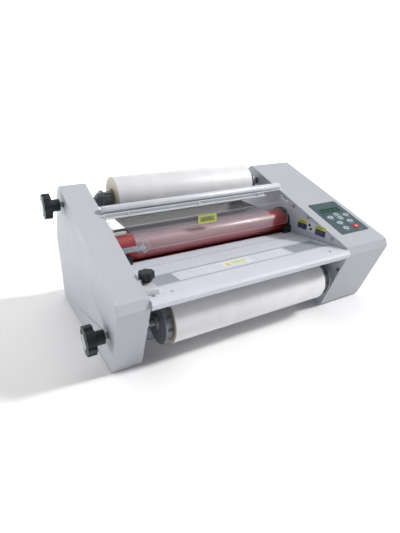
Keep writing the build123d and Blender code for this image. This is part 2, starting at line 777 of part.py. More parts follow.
def fan_rotor():
    """Fan hub with seven pitched blades."""
    x, z = FAN
    back = BACK_LOW[0] - SKIN - 0.2
    shape = pin_y((x, z), (back - 20.5, back - 3), 15.0)
    for step in range(7):
        turn = 2 * pi * step / 7
        blade = Box(21, 1.6, 17)
        place = Pos(x + 24.5 * cos(turn), back - 11.5, z + 24.5 * sin(turn))
        shape += place * Rot(0, -degrees(turn), 0) * Rot(38, 0, 0) * blade
    return shape


def outfeed_tray():
    """Bent sheet that carries the laminated work out at the back."""
    path = FilletPolyline((308, 156.5), (334, 156.5), (404, 138), (410, 118), radius=6.0)
    return along_x(trace(path, 1.5), (LEFT_IN, RIGHT_IN))


def main():
    """Writes every piece."""
    os.makedirs("parts", exist_ok=True)
    save("left_cover", left_cover())
    save("right_cover", right_cover())
    save("left_side_plate", left_side_plate())
    save("right_side_plate", right_side_plate())
    save("feet", feet())
    save("tie_bars", tie_bars())
    save("bearing_blocks", bearing_blocks())
    save("feed_table", feed_table())
    save("table_scale_plate", table_scale_plate())
    save("printed_labels", table_label() + hazard_labels())
    save("paper_guide", paper_guide())
    save("guide_knob", guide_knob())
    save("idler_bars", idler_bars())
    save("shield_rail", shield_rail())
    save("shield_panel", shield_panel())
    save("shield_arms", shield_arms())
    save("shield_label", shield_label())
    save("shield_catch", shield_catch())
    save("nip_guards", nip_guards())
    save("temp_sensor_block", temp_sensor_block())
    save("trim_plate", trim_plate())
    save("panel_screws", panel_screws())
    save("film_webs", film_webs())
    save("top_spindle", top_spindle())
    save("bottom_spindle", bottom_spindle())
    rolls = (("top", TOP_AXIS, TOP_FILM_X, TOP_FILM_R), ("bottom", BOTTOM_AXIS, BOTTOM_FILM_X, BOTTOM_FILM_R))
    for place, axis, film_x, radius in rolls:
        save(f"{place}_film_core", film_core(axis, film_x))
        save(f"{place}_film_roll", film_roll(axis, film_x, radius))
        save(f"{place}_brake_knob", brake_knob(axis))
        save(f"{place}_brake_screw", brake_screw(axis))
    for place, axis in (("upper", UPPER_HEAT), ("lower", LOWER_HEAT)):
        save(f"{place}_heat_core", heat_core(axis, place == "upper"))
        save(f"{place}_heat_sleeve", heat_sleeve(axis))
    for place, axis in (("upper", UPPER_PULL), ("lower", LOWER_PULL)):
        save(f"{place}_pull_core", pull_core(axis, place == "lower"))
        save(f"{place}_pull_sleeve", pull_sleeve(axis))
    save("idler_gear", idler_gear())
    save("motor_pinion", motor_pinion())
    save("drive_motor", drive_motor())
    save("keypad_overlay", keypad_overlay())
    save("lcd_window", lcd_window())
    save("control_board", control_board())
    for name, at in OVAL_KEYS.items():
        save(name, key(oval(at), oval(at, 1.0), at))
    for name, at in ROUND_KEYS.items():
        save(name, key(disc(at, ARROW_R), disc(at, ARROW_R + 0.7), at))
    save("key_stop", key(disc(STOP_KEY, STOP_R), disc(STOP_KEY, STOP_R + 1.0), STOP_KEY))
    save("power_inlet", power_inlet())
    save("power_switch", power_switch())
    save("fan_housing", fan_housing())
    save("fan_rotor", fan_rotor())
    save("outfeed_tray", outfeed_tray())


main()
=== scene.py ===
"""Looks of the desktop roll laminator: materials, printed details, floor, light and camera."""

import json
import math

import bmesh
import bpy
from mathutils import Matrix, Vector


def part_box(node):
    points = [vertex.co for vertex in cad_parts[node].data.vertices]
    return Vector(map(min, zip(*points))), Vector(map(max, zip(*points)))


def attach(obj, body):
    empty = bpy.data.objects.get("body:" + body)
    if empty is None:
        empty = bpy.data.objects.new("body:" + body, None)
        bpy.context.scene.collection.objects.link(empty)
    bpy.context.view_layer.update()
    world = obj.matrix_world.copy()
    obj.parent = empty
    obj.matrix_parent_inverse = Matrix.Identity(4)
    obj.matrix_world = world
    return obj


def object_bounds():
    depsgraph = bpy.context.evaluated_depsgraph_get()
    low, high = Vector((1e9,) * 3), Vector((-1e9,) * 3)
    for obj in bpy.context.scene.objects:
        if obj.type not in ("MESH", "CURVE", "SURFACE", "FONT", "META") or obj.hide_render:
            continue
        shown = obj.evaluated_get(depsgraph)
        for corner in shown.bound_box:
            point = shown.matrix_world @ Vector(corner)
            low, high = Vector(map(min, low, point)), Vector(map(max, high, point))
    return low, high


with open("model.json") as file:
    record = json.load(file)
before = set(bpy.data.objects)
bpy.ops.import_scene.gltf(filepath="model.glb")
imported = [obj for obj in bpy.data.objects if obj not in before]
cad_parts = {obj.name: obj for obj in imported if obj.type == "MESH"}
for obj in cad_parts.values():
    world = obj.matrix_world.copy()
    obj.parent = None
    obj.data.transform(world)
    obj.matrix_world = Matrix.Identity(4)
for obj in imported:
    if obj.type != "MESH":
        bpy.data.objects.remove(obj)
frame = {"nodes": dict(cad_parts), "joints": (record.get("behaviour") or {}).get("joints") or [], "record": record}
cad_bounds = [list(corner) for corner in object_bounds()]
NODES = frame["nodes"]
JOINTS = {joint["name"]: joint for joint in frame["joints"]}


# Materials


def new_tree(name):
    """An empty material with a Principled shader joined to its output."""
    mat = bpy.data.materials.new(name)
    mat.use_nodes = True
    tree = mat.node_tree
    tree.nodes.clear()
    out = tree.nodes.new("ShaderNodeOutputMaterial")
    shader = tree.nodes.new("ShaderNodeBsdfPrincipled")
    tree.links.new(shader.outputs[0], out.inputs[0])
    return mat, tree, shader


def coordinates(tree, scale=(1, 1, 1)):
    """Object coordinates, stretched by scale."""
    coord = tree.nodes.new("ShaderNodeTexCoord")
    mapping = tree.nodes.new("ShaderNodeMapping")
    mapping.inputs["Scale"].default_value = scale
    tree.links.new(coord.outputs["Object"], mapping.inputs["Vector"])
    return mapping.outputs[0]


def noise(tree, scale, stretch=(1, 1, 1), detail=4.0):
    """Noise value over the surface."""
    node = tree.nodes.new("ShaderNodeTexNoise")
    node.inputs["Scale"].default_value = scale
    node.inputs["Detail"].default_value = detail
    tree.links.new(coordinates(tree, stretch), node.inputs["Vector"])
    return node.outputs[0]


def remap(tree, value, low, high, to_low, to_high):
    """A value moved from one range to another and clamped."""
    node = tree.nodes.new("ShaderNodeMapRange")
    node.inputs["From Min"].default_value = low
    node.inputs["From Max"].default_value = high
    node.inputs["To Min"].default_value = to_low
    node.inputs["To Max"].default_value = to_high
    tree.links.new(value, node.inputs["Value"])
    return node.outputs[0]


def blend_colors(tree, factor, first, second):
    """Mix of two colours, each a tuple or a socket, by a factor socket."""
    node = tree.nodes.new("ShaderNodeMix")
    node.data_type = "RGBA"
    tree.links.new(factor, node.inputs[0])
    for socket, value in ((node.inputs[6], first), (node.inputs[7], second)):
        if isinstance(value, tuple):
            socket.default_value = (*value, 1.0)
        else:
            tree.links.new(value, socket)
    return node.outputs[2]


def shade(color, factor):
    """A colour made darker or lighter."""
    return tuple(min(1.0, channel * factor) for channel in color)


def add_bump(tree, shader, layers):
    """Stacks bump layers, each (height socket, strength, distance)."""
    last = None
    for height, strength, distance in layers:
        bump = tree.nodes.new("ShaderNodeBump")
        bump.inputs["Strength"].default_value = strength
        bump.inputs["Distance"].default_value = distance
        tree.links.new(height, bump.inputs["Height"])
        if last is not None:
            tree.links.new(last, bump.inputs["Normal"])
        last = bump.outputs[0]
    tree.links.new(last, shader.inputs["Normal"])


def edge_factor(tree, low, high):
    """Value that rises on convex edges."""
    geometry = tree.nodes.new("ShaderNodeNewGeometry")
    return remap(tree, geometry.outputs["Pointiness"], low, high, 0.0, 1.0)


def surface(name, color, rough, metal=0.0, mottle=0.05, mottle_scale=14.0, grain=900.0, grain_depth=0.15,
            rough_vary=0.07, streak=None, streak_depth=0.1, wear=None, settings=None):
    """Procedural finish: mottled colour, uneven gloss, fine grain, optional streaks and worn edges."""
    mat, tree, shader = new_tree(name)
    broad = noise(tree, mottle_scale)
    tone = remap(tree, broad, 0.3, 0.7, 0.0, 1.0)
    paint = blend_colors(tree, tone, shade(color, 1 - mottle), shade(color, 1 + mottle))
    fine = noise(tree, grain, detail=2.0)
    layers = [(fine, grain_depth, 0.0002)]
    gloss_source = noise(tree, mottle_scale * 4)
    if streak:
        lines = noise(tree, 1.0, stretch=streak, detail=5.0)
        marks = remap(tree, lines, 0.35, 0.65, 0.0, 1.0)
        paint = blend_colors(tree, remap(tree, lines, 0.5, 0.75, 0.0, 0.35), paint, shade(color, 0.72))
        layers.append((marks, streak_depth, 0.0001))
        gloss_source = lines
    if wear:
        worn = edge_factor(tree, 0.52, 0.6)
        patchy = remap(tree, noise(tree, 160.0), 0.48, 0.62, 0.0, 0.7)
        both = tree.nodes.new("ShaderNodeMath")
        both.operation = "MULTIPLY"
        tree.links.new(worn, both.inputs[0])
        tree.links.new(patchy, both.inputs[1])
        paint = blend_colors(tree, both.outputs[0], paint, wear)
    tree.links.new(paint, shader.inputs["Base Color"])
    rough_out = remap(tree, gloss_source, 0.3, 0.7, max(0.02, rough - rough_vary), rough + rough_vary)
    tree.links.new(rough_out, shader.inputs["Roughness"])
    shader.inputs["Metallic"].default_value = metal
    add_bump(tree, shader, layers)
    for key, value in (settings or {}).items():
        shader.inputs[key].default_value = value
    return mat


def side_factor(tree, axis, low, high):
    """Value that is 1 where the surface faces along one axis, either way."""
    geometry = tree.nodes.new("ShaderNodeNewGeometry")
    split = tree.nodes.new("ShaderNodeSeparateXYZ")
    tree.links.new(geometry.outputs["Normal"], split.inputs[0])
    facing = tree.nodes.new("ShaderNodeMath")
    facing.operation = "ABSOLUTE"
    tree.links.new(split.outputs[axis], facing.inputs[0])
    return remap(tree, facing.outputs[0], low, high, 0.0, 1.0)


def wound_film(name, axis):
    """Milky film wound on a core: rings on the end faces, faint bands and slack lines on the outside."""
    mat, tree, shader = new_tree(name)
    coord = tree.nodes.new("ShaderNodeTexCoord")
    offset = tree.nodes.new("ShaderNodeVectorMath")
    offset.operation = "SUBTRACT"
    offset.inputs[1].default_value = axis
    tree.links.new(coord.outputs["Object"], offset.inputs[0])
    flat = tree.nodes.new("ShaderNodeVectorMath")
    flat.operation = "MULTIPLY"
    flat.inputs[1].default_value = (0, 1, 1)
    tree.links.new(offset.outputs[0], flat.inputs[0])
    length = tree.nodes.new("ShaderNodeVectorMath")
    length.operation = "LENGTH"
    tree.links.new(flat.outputs[0], length.inputs[0])
    rings = tree.nodes.new("ShaderNodeTexNoise")
    rings.noise_dimensions = "1D"
    rings.inputs["Scale"].default_value = 1400.0
    rings.inputs["Detail"].default_value = 3.0
    tree.links.new(length.outputs["Value"], rings.inputs["W"])
    end = side_factor(tree, 0, 0.6, 0.9)
    bands = noise(tree, 1.0, stretch=(26, 3, 3), detail=3.0)
    slack = noise(tree, 1.0, stretch=(3, 60, 60), detail=3.0)
    ring_tone = remap(tree, rings.outputs[0], 0.35, 0.65, 0, 1)
    face = blend_colors(tree, ring_tone, (0.42, 0.38, 0.29), (0.60, 0.56, 0.45))
    band_tone = remap(tree, bands, 0.35, 0.65, 0, 1)
    side = blend_colors(tree, band_tone, (0.71, 0.71, 0.73), (0.76, 0.76, 0.78))
    tree.links.new(blend_colors(tree, end, side, face), shader.inputs["Base Color"])
    tree.links.new(remap(tree, slack, 0.3, 0.7, 0.42, 0.52), shader.inputs["Roughness"])
    shader.inputs["Coat Weight"].default_value = 0.12
    shader.inputs["Coat Roughness"].default_value = 0.25
    shader.inputs["Subsurface Weight"].default_value = 0.08
    shader.inputs["Subsurface Radius"].default_value = (0.004, 0.004, 0.004)
    add_bump(tree, shader, [(slack, 0.05, 0.0005), (bands, 0.06, 0.0004), (rings.outputs[0], 0.1, 0.0002)])
    return mat


def clear_panel(name, color, rough):
    """Clear acrylic with faint smears and dust; its sawn edges are frosted."""
    mat, tree, shader = new_tree(name)
    haze = noise(tree, 7.0, stretch=(1, 2.5, 2.5), detail=6.0)
    dust = noise(tree, 420.0, detail=2.0)
    edge = side_factor(tree, 1, 0.75, 0.55)
    dusty = blend_colors(tree, remap(tree, dust, 0.62, 0.8, 0.0, 0.5), color, (0.9, 0.9, 0.9))
    tree.links.new(blend_colors(tree, edge, dusty, (0.80, 0.82, 0.85)), shader.inputs["Base Color"])
    tree.links.new(remap(tree, haze, 0.4, 0.75, rough, rough + 0.03), shader.inputs["Roughness"])
    tree.links.new(remap(tree, edge, 0.0, 1.0, 0.05, 0.42), shader.inputs["Alpha"])
    shader.inputs["IOR"].default_value = 1.49
    shader.inputs["Specular IOR Level"].default_value = 0.6
    add_bump(tree, shader, [(haze, 0.02, 0.0003)])
    return mat


def hazy_film(name, color, painted_shade_color, alpha, roller):
    """Thin film, milky where it lies on the roller; on its free run above the roller it carries painted shade, a
    dim grey that is also made more opaque.
    """
    mat, tree, shader = new_tree(name)
    slack = noise(tree, 1.0, stretch=(4, 34, 34), detail=3.0)
    cloud = noise(tree, 18.0, detail=4.0)
    split = tree.nodes.new("ShaderNodeSeparateXYZ")
    tree.links.new(coordinates(tree), split.inputs[0])
    low, high = roller[0][2], roller[1][2]
    # Mask of the free run above the roller's top: there the film gets painted shade, a dim grey colour and extra
    # opacity.
    free = remap(tree, split.outputs[2], high - 0.008, high + 0.006, 0.0, 1.0)
    milky = blend_colors(tree, remap(tree, cloud, 0.35, 0.65, 0, 1), shade(color, 0.96), shade(color, 1.04))
    tree.links.new(blend_colors(tree, free, milky, painted_shade_color), shader.inputs["Base Color"])
    tree.links.new(remap(tree, slack, 0.3, 0.7, 0.26, 0.38), shader.inputs["Roughness"])
    near_nip = remap(tree, split.outputs[2], low + 0.012, low + 0.042, 0.04, alpha)
    total = tree.nodes.new("ShaderNodeMath")
    total.operation = "ADD"
    tree.links.new(near_nip, total.inputs[0])
    tree.links.new(remap(tree, free, 0.0, 1.0, 0.0, 0.42), total.inputs[1])
    tree.links.new(total.outputs[0], shader.inputs["Alpha"])
    add_bump(tree, shader, [(slack, 0.12, 0.0006)])
    return mat


LONG = (3.0, 700.0, 700.0)
ROUND = (600.0, 14.0, 14.0)
FINISHES = {
    "cover_paint": ((0.46, 0.472, 0.515), 0.48, dict(mottle=0.02, grain=1500.0, grain_depth=0.08,
        wear=(0.52, 0.53, 0.57), settings={"Specular IOR Level": 0.35})),
    "plate_paint": ((0.47, 0.50, 0.57), 0.45, dict(mottle=0.04, grain=1300.0, grain_depth=0.18)),
    "foot_rubber": ((0.02, 0.02, 0.02), 0.8, dict(grain=700.0, grain_depth=0.3)),
    "bearing_metal": ((0.55, 0.55, 0.57), 0.35, dict(metal=0.9, streak=(300, 300, 8))),
    "table_aluminium": ((0.60, 0.62, 0.69), 0.50, dict(metal=0.05, mottle=0.02, streak=LONG,
        streak_depth=0.06, wear=(0.68, 0.70, 0.75))),
    "scale_print": ((0.32, 0.35, 0.40), 0.4, dict(metal=0.1, mottle=0.04, streak=LONG, streak_depth=0.04)),
    "label_sheet": ((0.64, 0.665, 0.74), 0.4, dict(mottle=0.03, grain=500.0, grain_depth=0.05)),
    "guide_plastic": ((0.60, 0.60, 0.63), 0.4, dict(mottle=0.03, grain=800.0)),
    "knob_black": ((0.008, 0.012, 0.018), 0.40, dict(mottle=0.3, grain=1100.0, grain_depth=0.2,
        wear=(0.06, 0.075, 0.09), settings={"Specular IOR Level": 0.35})),
    "bar_aluminium": ((0.60, 0.62, 0.66), 0.42, dict(metal=0.1, mottle=0.03, mottle_scale=30.0,
        grain=1200.0, grain_depth=0.01, rough_vary=0.02)),
    "warning_yellow": ((0.52, 0.53, 0.09), 0.4, dict(mottle=0.06, grain=400.0, grain_depth=0.05)),
    "bright_steel": ((0.55, 0.57, 0.62), 0.2, dict(metal=1.0, mottle=0.05, streak=(40, 400, 400))),
    "sensor_ceramic": ((0.58, 0.57, 0.55), 0.45, dict(mottle=0.06, grain=600.0)),
    "spindle_metal": ((0.16, 0.175, 0.19), 0.34, dict(metal=0.35, mottle=0.12, grain=1200.0)),
    "guard_black": ((0.010, 0.015, 0.018), 0.45, dict(mottle=0.2, grain=900.0)),
    "core_card": ((0.36, 0.27, 0.17), 0.85, dict(mottle=0.15, mottle_scale=60.0, grain=600.0,
        grain_depth=0.35, streak=(20, 300, 300))),
    "screw_steel": ((0.50, 0.52, 0.56), 0.3, dict(metal=0.8, mottle=0.05, streak=ROUND)),
    "roller_steel": ((0.035, 0.045, 0.045), 0.35, dict(metal=0.5, mottle=0.1, streak=ROUND)),
    "red_silicone": ((0.34, 0.010, 0.014), 0.36, dict(mottle=0.12, mottle_scale=9.0, grain=700.0,
        grain_depth=0.08, streak=(2.0, 90.0, 90.0), streak_depth=0.05,
        settings={"Coat Weight": 0.25, "Coat Roughness": 0.2})),
    "grey_rubber": ((0.06, 0.06, 0.065), 0.6, dict(mottle=0.1, grain=700.0, grain_depth=0.2)),
    "gear_plastic": ((0.70, 0.66, 0.55), 0.45, dict(mottle=0.04, grain=500.0)),
    "motor_metal": ((0.03, 0.03, 0.034), 0.4, dict(metal=0.2, mottle=0.1, grain=700.0)),
    "overlay_grey": ((0.048, 0.088, 0.110), 0.42, dict(mottle=0.05, grain=1400.0, grain_depth=0.12,
        wear=(0.14, 0.17, 0.19))),
    "lcd_glass": ((0.008, 0.045, 0.022), 0.22, dict(mottle=0.1, grain=1500.0, grain_depth=0.02,
        settings={"Coat Weight": 0.4, "Coat Roughness": 0.1})),
    "circuit_green": ((0.01, 0.12, 0.04), 0.4, dict(mottle=0.2, mottle_scale=80.0, grain=900.0)),
    "key_pale": ((0.40, 0.48, 0.51), 0.42, dict(mottle=0.06, grain=1200.0, grain_depth=0.15)),
    "key_red": ((0.50, 0.03, 0.045), 0.36, dict(mottle=0.08, grain=1200.0, grain_depth=0.12)),
    "inlet_black": ((0.015, 0.015, 0.016), 0.4, dict(mottle=0.2, grain=1200.0, grain_depth=0.2)),
    "fan_black": ((0.02, 0.02, 0.022), 0.5, dict(mottle=0.2, grain=900.0, grain_depth=0.15)),
}
MATERIALS = {
    name: surface(name, color, rough, **options) for name, (color, rough, options) in FINISHES.items()
}
MATERIALS["clear_acrylic"] = clear_panel("clear_acrylic", (0.50, 0.52, 0.54), 0.05)
# The dim grey below is painted shade for the film's free run above the upper roller.
MATERIALS["clear_film"] = hazy_film(
    "clear_film", color=(0.74, 0.66, 0.73), painted_shade_color=(0.070, 0.056, 0.062), alpha=0.24,
    roller=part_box("upper_heat_sleeve"),
)


def ink(name, color, rough, mottle):
    """Thin print with a fine grain."""
    return surface(name, color, rough, mottle=mottle, grain=900.0, grain_depth=0.05)


INK = ink("ink_dark", (0.018, 0.02, 0.035), 0.45, 0.15)
INK_NAVY = ink("ink_navy", (0.02, 0.03, 0.09), 0.4, 0.12)
INK_WHITE = ink("ink_white", (0.75, 0.75, 0.80), 0.4, 0.05)
INK_GREEN = ink("ink_green", (0.24, 0.29, 0.09), 0.4, 0.1)
INK_OLIVE = ink("ink_olive", (0.12, 0.14, 0.05), 0.4, 0.1)
INK_SLATE = ink("ink_slate", (0.09, 0.11, 0.17), 0.4, 0.1)
INK_YELLOW = ink("ink_yellow", (0.62, 0.62, 0.08), 0.4, 0.06)
INK_PALE = ink("ink_pale", (0.30, 0.36, 0.39), 0.42, 0.08)
INK_GREY = ink("ink_grey", (0.28, 0.30, 0.36), 0.45, 0.08)


# Finishes and rounded edges on the CAD nodes


def middle(node):
    """Centre of a node's box."""
    low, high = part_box(node)
    return tuple((a + b) / 2 for a, b in zip(low, high))


def soften(obj, width, segments):
    """Joins split vertices and rounds the sharp edges."""
    weld = obj.modifiers.new("weld", "WELD")
    weld.merge_threshold = 0.00001
    bevel = obj.modifiers.new("bevel", "BEVEL")
    bevel.width = width
    bevel.segments = segments
    bevel.limit_method = "ANGLE"
    bevel.angle_limit = math.radians(EDGE_ANGLE)
    bevel.harden_normals = True
    bevel.use_clamp_overlap = True


EDGE_ANGLE = 35.0
PLAIN_EDGE, KEY_EDGE, WIDE_EDGE = 0.0003, 0.0005, 0.0007
EDGES = {
    "left_cover": 0.0009, "right_cover": 0.0009, "left_side_plate": 0.0004, "right_side_plate": 0.0004,
    "feed_table": 0.0008, "paper_guide": 0.0008, "guide_knob": 0.0014, "idler_bars": 0.0006,
    "shield_panel": 0.0003, "shield_arms": 0.0003, "shield_catch": 0.0005, "temp_sensor_block": 0.0008,
    "top_brake_knob": 0.0022, "bottom_brake_knob": 0.0022, "top_brake_screw": 0.0006,
    "bottom_brake_screw": 0.0006, "top_film_roll": 0.0005, "bottom_film_roll": 0.0005, "top_spindle": 0.0006,
    "bottom_spindle": 0.0006, "upper_heat_sleeve": 0.0008, "lower_heat_sleeve": 0.0008,
    "keypad_overlay": 0.0003, "power_inlet": 0.0005, "power_switch": 0.0005, "feet": 0.0008,
    "outfeed_tray": 0.0003, "tie_bars": 0.0008, "shield_rail": 0.0004, "drive_motor": 0.0008,
    "panel_screws": 0.0004,
}
SLOTS = {entry["node"]: entry["material_slot"] for entry in frame["record"]["subparts"]}
for node_name, node_obj in NODES.items():
    finish = MATERIALS.get(SLOTS[node_name])
    if SLOTS[node_name] == "wound_film":
        finish = wound_film(f"wound_film_{node_name}", middle(node_name))
    node_obj.data.materials.clear()
    node_obj.data.materials.append(finish)
    width = EDGES.get(node_name, KEY_EDGE if node_name.startswith("key_") else PLAIN_EDGE)
    soften(node_obj, width, 3 if width > WIDE_EDGE else 2)


# Printed details

LIFT = 0.00001
INK_DEPTH = 0.00006
FINE_INK = 0.00005
FIELD_INK = 0.00008
PLATE_DEPTH = 0.00015
FRAME_RISE = 0.001
PAD_RISE = 0.0005
LABEL_DEPTH = 0.0003


def make_piece(name, polygons, depth, place, mat, body):
    """Flat raised shapes: polygons in (u, v), drawn out by depth along place's third axis."""
    mesh = bpy.data.meshes.new(name)
    bm = bmesh.new()
    for points in polygons:
        lower = [bm.verts.new(place @ Vector((u, v, 0.0))) for u, v in points]
        upper = [bm.verts.new(place @ Vector((u, v, depth))) for u, v in points]
        bm.faces.new(list(reversed(lower)))
        bm.faces.new(upper)
        for i in range(len(points)):
            j = (i + 1) % len(points)
            bm.faces.new((lower[i], lower[j], upper[j], upper[i]))
    bmesh.ops.recalc_face_normals(bm, faces=bm.faces)
    bm.to_mesh(mesh)
    bm.free()
    obj = bpy.data.objects.new(name, mesh)
    bpy.context.scene.collection.objects.link(obj)
    mesh.materials.append(mat)
    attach(obj, body)
    return obj


def bar(u0, u1, v0, v1):
    """Rectangle as a polygon."""
    return [(u0, v0), (u1, v0), (u1, v1), (u0, v1)]


def ring_bars(u0, u1, v0, v1, t):
    """Rectangular outline made of four bars."""
    return [bar(u0, u1, v0, v0 + t), bar(u0, u1, v1 - t, v1), bar(u0, u0 + t, v0 + t, v1 - t),
            bar(u1 - t, u1, v0 + t, v1 - t)]


def placement(origin, u_dir, v_dir):
    """Matrix with its first two axes along u and v, third along their cross product."""
    u = Vector(u_dir).normalized()
    v = Vector(v_dir).normalized()
    w = u.cross(v)
    return Matrix((
        (u.x, v.x, w.x, origin[0]),
        (u.y, v.y, w.y, origin[1]),
        (u.z, v.z, w.z, origin[2]),
        (0, 0, 0, 1),
    ))


def print_bars(width, height, rows, gap, seed):
    """Uneven rows of short bars that stand in for small print."""
    shapes = []
    pitch = height / rows
    for row in range(rows):
        v = height / 2 - (row + 0.5) * pitch
        reach = 0.72 + 0.28 * math.sin(seed + row * 2.3) ** 2
        half = pitch * (0.5 - gap)
        shapes.append(bar(-width / 2, -width / 2 + width * reach, v - half, v + half))
    return shapes


def shift(shapes, du, dv):
    """Polygons moved in their plane."""
    return [[(u + du, v + dv) for u, v in points] for points in shapes]


def loose_boxes(node, keep):
    """Boxes of the separate solids in a node that keep accepts."""
    bm = bmesh.new()
    bm.from_mesh(NODES[node].data)
    bmesh.ops.remove_doubles(bm, verts=bm.verts, dist=0.00001)
    seen, boxes = set(), []
    for start in bm.verts:
        if start in seen:
            continue
        group, queue = [], [start]
        seen.add(start)
        while queue:
            vert = queue.pop()
            group.append(vert.co)
            for edge in vert.link_edges:
                other = edge.other_vert(vert)
                if other not in seen:
                    seen.add(other)
                    queue.append(other)
        low = [min(p[i] for p in group) for i in range(3)]
        high = [max(p[i] for p in group) for i in range(3)]
        if keep(low, high):
            boxes.append((low, high))
    bm.free()
    return boxes


def shield_print():
    """Green field, symbol and print on the shield's sticker, with its yellow edge left bare."""
    low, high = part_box("shield_label")
    lean = (high[1] - LABEL_DEPTH - low[1], high[2] - low[2])
    face = (
        (low[0] + high[0]) / 2,
        (low[1] + high[1] - LABEL_DEPTH) / 2 - 2 * LIFT,
        (low[2] + high[2]) / 2,
    )
    place = placement(face, (1, 0, 0), (0, lean[0], lean[1]))
    w, h = (high[0] - low[0]) / 2, (high[2] - low[2]) / 2
    field = [bar(-w + 0.005, w - 0.006, -h + 0.0035, h - 0.004)]
    make_piece("shield_label_field", field, INK_DEPTH, place, INK_GREEN, "shield")
    lifted = place @ Matrix.Translation((0, 0, INK_DEPTH))
    rows = shift(print_bars(0.030, 0.0085, 3, 0.22, 0.4), 0.003, 0.0)
    triangle = [[(-0.0165, -0.003), (-0.0105, -0.003), (-0.0135, 0.0032)]]
    make_piece("shield_label_mark", rows + triangle, FINE_INK, lifted, INK_OLIVE, "shield")


def side_label_print():
    """Yellow heads, dark fields, print and a pictogram on the row of side stickers."""
    turn = math.radians(4.8)
    u_dir = (0, -math.cos(turn), -math.sin(turn))
    v_dir = (0, -math.sin(turn), math.cos(turn))
    stickers = loose_boxes("printed_labels", lambda low, high: high[0] - low[0] < 0.001)
    for step, (low, high) in enumerate(sorted(stickers, key=lambda pair: -pair[0][1])):
        centre = (low[0] - LIFT, (low[1] + high[1]) / 2, (low[2] + high[2]) / 2)
        place = placement(centre, u_dir, v_dir)
        lifted = place @ Matrix.Translation((0, 0, FIELD_INK))
        w, h = (high[1] - low[1]) / 2 - 0.0014, (high[2] - low[2]) / 2 - 0.0016
        if step == 1:
            figure = [bar(-w + 0.002, -w + 0.009, 0.001, h - 0.003),
                      [(-w + 0.003, -h + 0.006), (0.002, -h + 0.004), (0.0035, 0.0015), (-0.001, -0.001)]]
            make_piece("side_label_figure", figure, INK_DEPTH, place, INK, "frame")
            continue
        head, field = [bar(-w, w, 0.0030, h)], [bar(-w, w, -h, 0.0030)]
        make_piece(f"side_label_head_{step}", head, FIELD_INK, place, INK_YELLOW, "frame")
        make_piece(f"side_label_field_{step}", field, FIELD_INK, place, INK_NAVY, "frame")
        lines = shift(print_bars(1.6 * w, 0.0105, 3, 0.30, step), 0.0, -0.0042)
        make_piece(f"side_label_lines_{step}", lines, FINE_INK, lifted, INK_SLATE, "frame")
        title = shift(print_bars(1.5 * w, 0.0045, 1, 0.2, step + 1), 0.0, (h + 0.003) / 2)
        make_piece(f"side_label_title_{step}", title, FINE_INK, lifted, INK_OLIVE, "frame")


def slope_axes():
    """Directions across and up the sloping face, and its outward normal."""
    press = Vector(JOINTS["key_stop_press"]["axis"])
    normal = -press.normalized()
    up = Vector((0, normal.z, -normal.y))
    return Vector((1, 0, 0)), up, normal


def top_centre(node):
    """Middle of the face of a node that stands furthest out of the slope, and its half sizes."""
    across, up, normal = slope_axes()
    points = [v.co for v in NODES[node].data.vertices]
    top = max(p.dot(normal) for p in points)
    face = [p for p in points if p.dot(normal) > top - 0.00005]
    us = [p.dot(across) for p in face]
    vs = [p.dot(up) for p in face]
    u, v = (min(us) + max(us)) / 2, (min(vs) + max(vs)) / 2
    centre = across * u + up * v + normal * top
    return centre, (max(us) - min(us)) / 2, (max(vs) - min(vs)) / 2


def on_face(node):
    """Placement on a node's outermost sloping face."""
    across, up, normal = slope_axes()
    centre, _, _ = top_centre(node)
    return placement(centre + normal * LIFT, across, up)


def display_print():
    """Two rows of lit blocks on the display."""
    _, w, h = top_centre("lcd_window")
    blocks = []
    for row in (0.32, -0.36):
        for col in range(16):
            u = -w * 0.86 + col * w * 1.72 / 15
            if (col * 7 + int(row * 10)) % 5 == 0:
                continue
            tall = h * (0.22 if (col + int(row > 0)) % 3 else 0.27)
            blocks.append(bar(u - 0.0011, u + 0.0011, row * h - tall, row * h + tall))
    mat = surface("display_marks", (0.02, 0.13, 0.05), 0.4, mottle=0.05)
    make_piece("display_marks", blocks, INK_DEPTH, on_face("lcd_window"), mat, "frame")


def key_marks():
    """Small symbols on the keys."""
    arrow = [(-0.0026, -0.0016), (0.0026, -0.0016), (0.0, 0.0026)]
    stroke = [bar(-0.0005, 0.0005, -0.003, 0.003)]
    symbols = {
        "key_up": [arrow],
        "key_down": [[(-u, -v) for u, v in arrow]],
        "key_menu": [bar(-0.004, 0.004, -0.0022, -0.001), bar(-0.004, 0.004, 0.001, 0.0022)],
        "key_run": [[(-0.0022, -0.003), (0.0032, 0.0), (-0.0022, 0.003)]],
        "key_heat": shift(stroke, -0.003, 0) + stroke + shift(stroke, 0.003, 0),
        "key_cold": ring_bars(-0.003, 0.003, -0.0028, 0.0028, 0.0009),
        "key_reverse": [[(0.0022, 0.003), (-0.0032, 0.0), (0.0022, -0.003)]],
        "key_stop": [bar(-0.0024, 0.0024, -0.0024, 0.0024)],
    }
    for node, shapes in symbols.items():
        ink = INK_WHITE if node == "key_stop" else INK
        make_piece(f"{node}_symbol", shapes, INK_DEPTH, on_face(node), ink, f"{node}_button")


def stadium(u, v, radius, half, steps=8):
    """Outline with two straight sides and round ends, stood upright on (u, v)."""
    points = []
    for end, start in ((half, 0.0), (-half, math.pi)):
        for step in range(steps + 1):
            turn = start + math.pi * step / steps
            points.append((u + radius * math.cos(turn), v + end + radius * math.sin(turn)))
    return points


